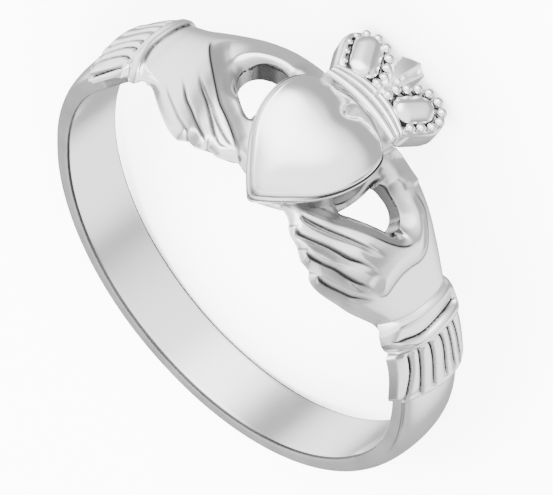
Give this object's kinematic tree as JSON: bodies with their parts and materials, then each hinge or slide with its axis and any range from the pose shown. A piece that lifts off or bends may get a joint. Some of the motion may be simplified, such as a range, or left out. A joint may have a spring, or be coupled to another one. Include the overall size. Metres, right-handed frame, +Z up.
{
  "type": "claddagh ring",
  "caption": "Polished silver finger ring with hands in pleated cuffs holding a domed heart under a beaded crown, on a plain rounded band.",
  "frame": {"origin": "centre of the base rectangle, on the surface that the ring lies on", "axes": "+Z up, which is nearly along the finger hole with the crown side down; the heart faces -Y and the plain band's back is at +Y; +X runs from one hand to the other"},
  "size_m": [0.0192, 0.0222, 0.009],
  "materials": {
    "silver": "polished silver, slightly darker in the creases"
  },
  "bodies": {
    "root": {"ring": "silver"}
  },
  "joints": []
}
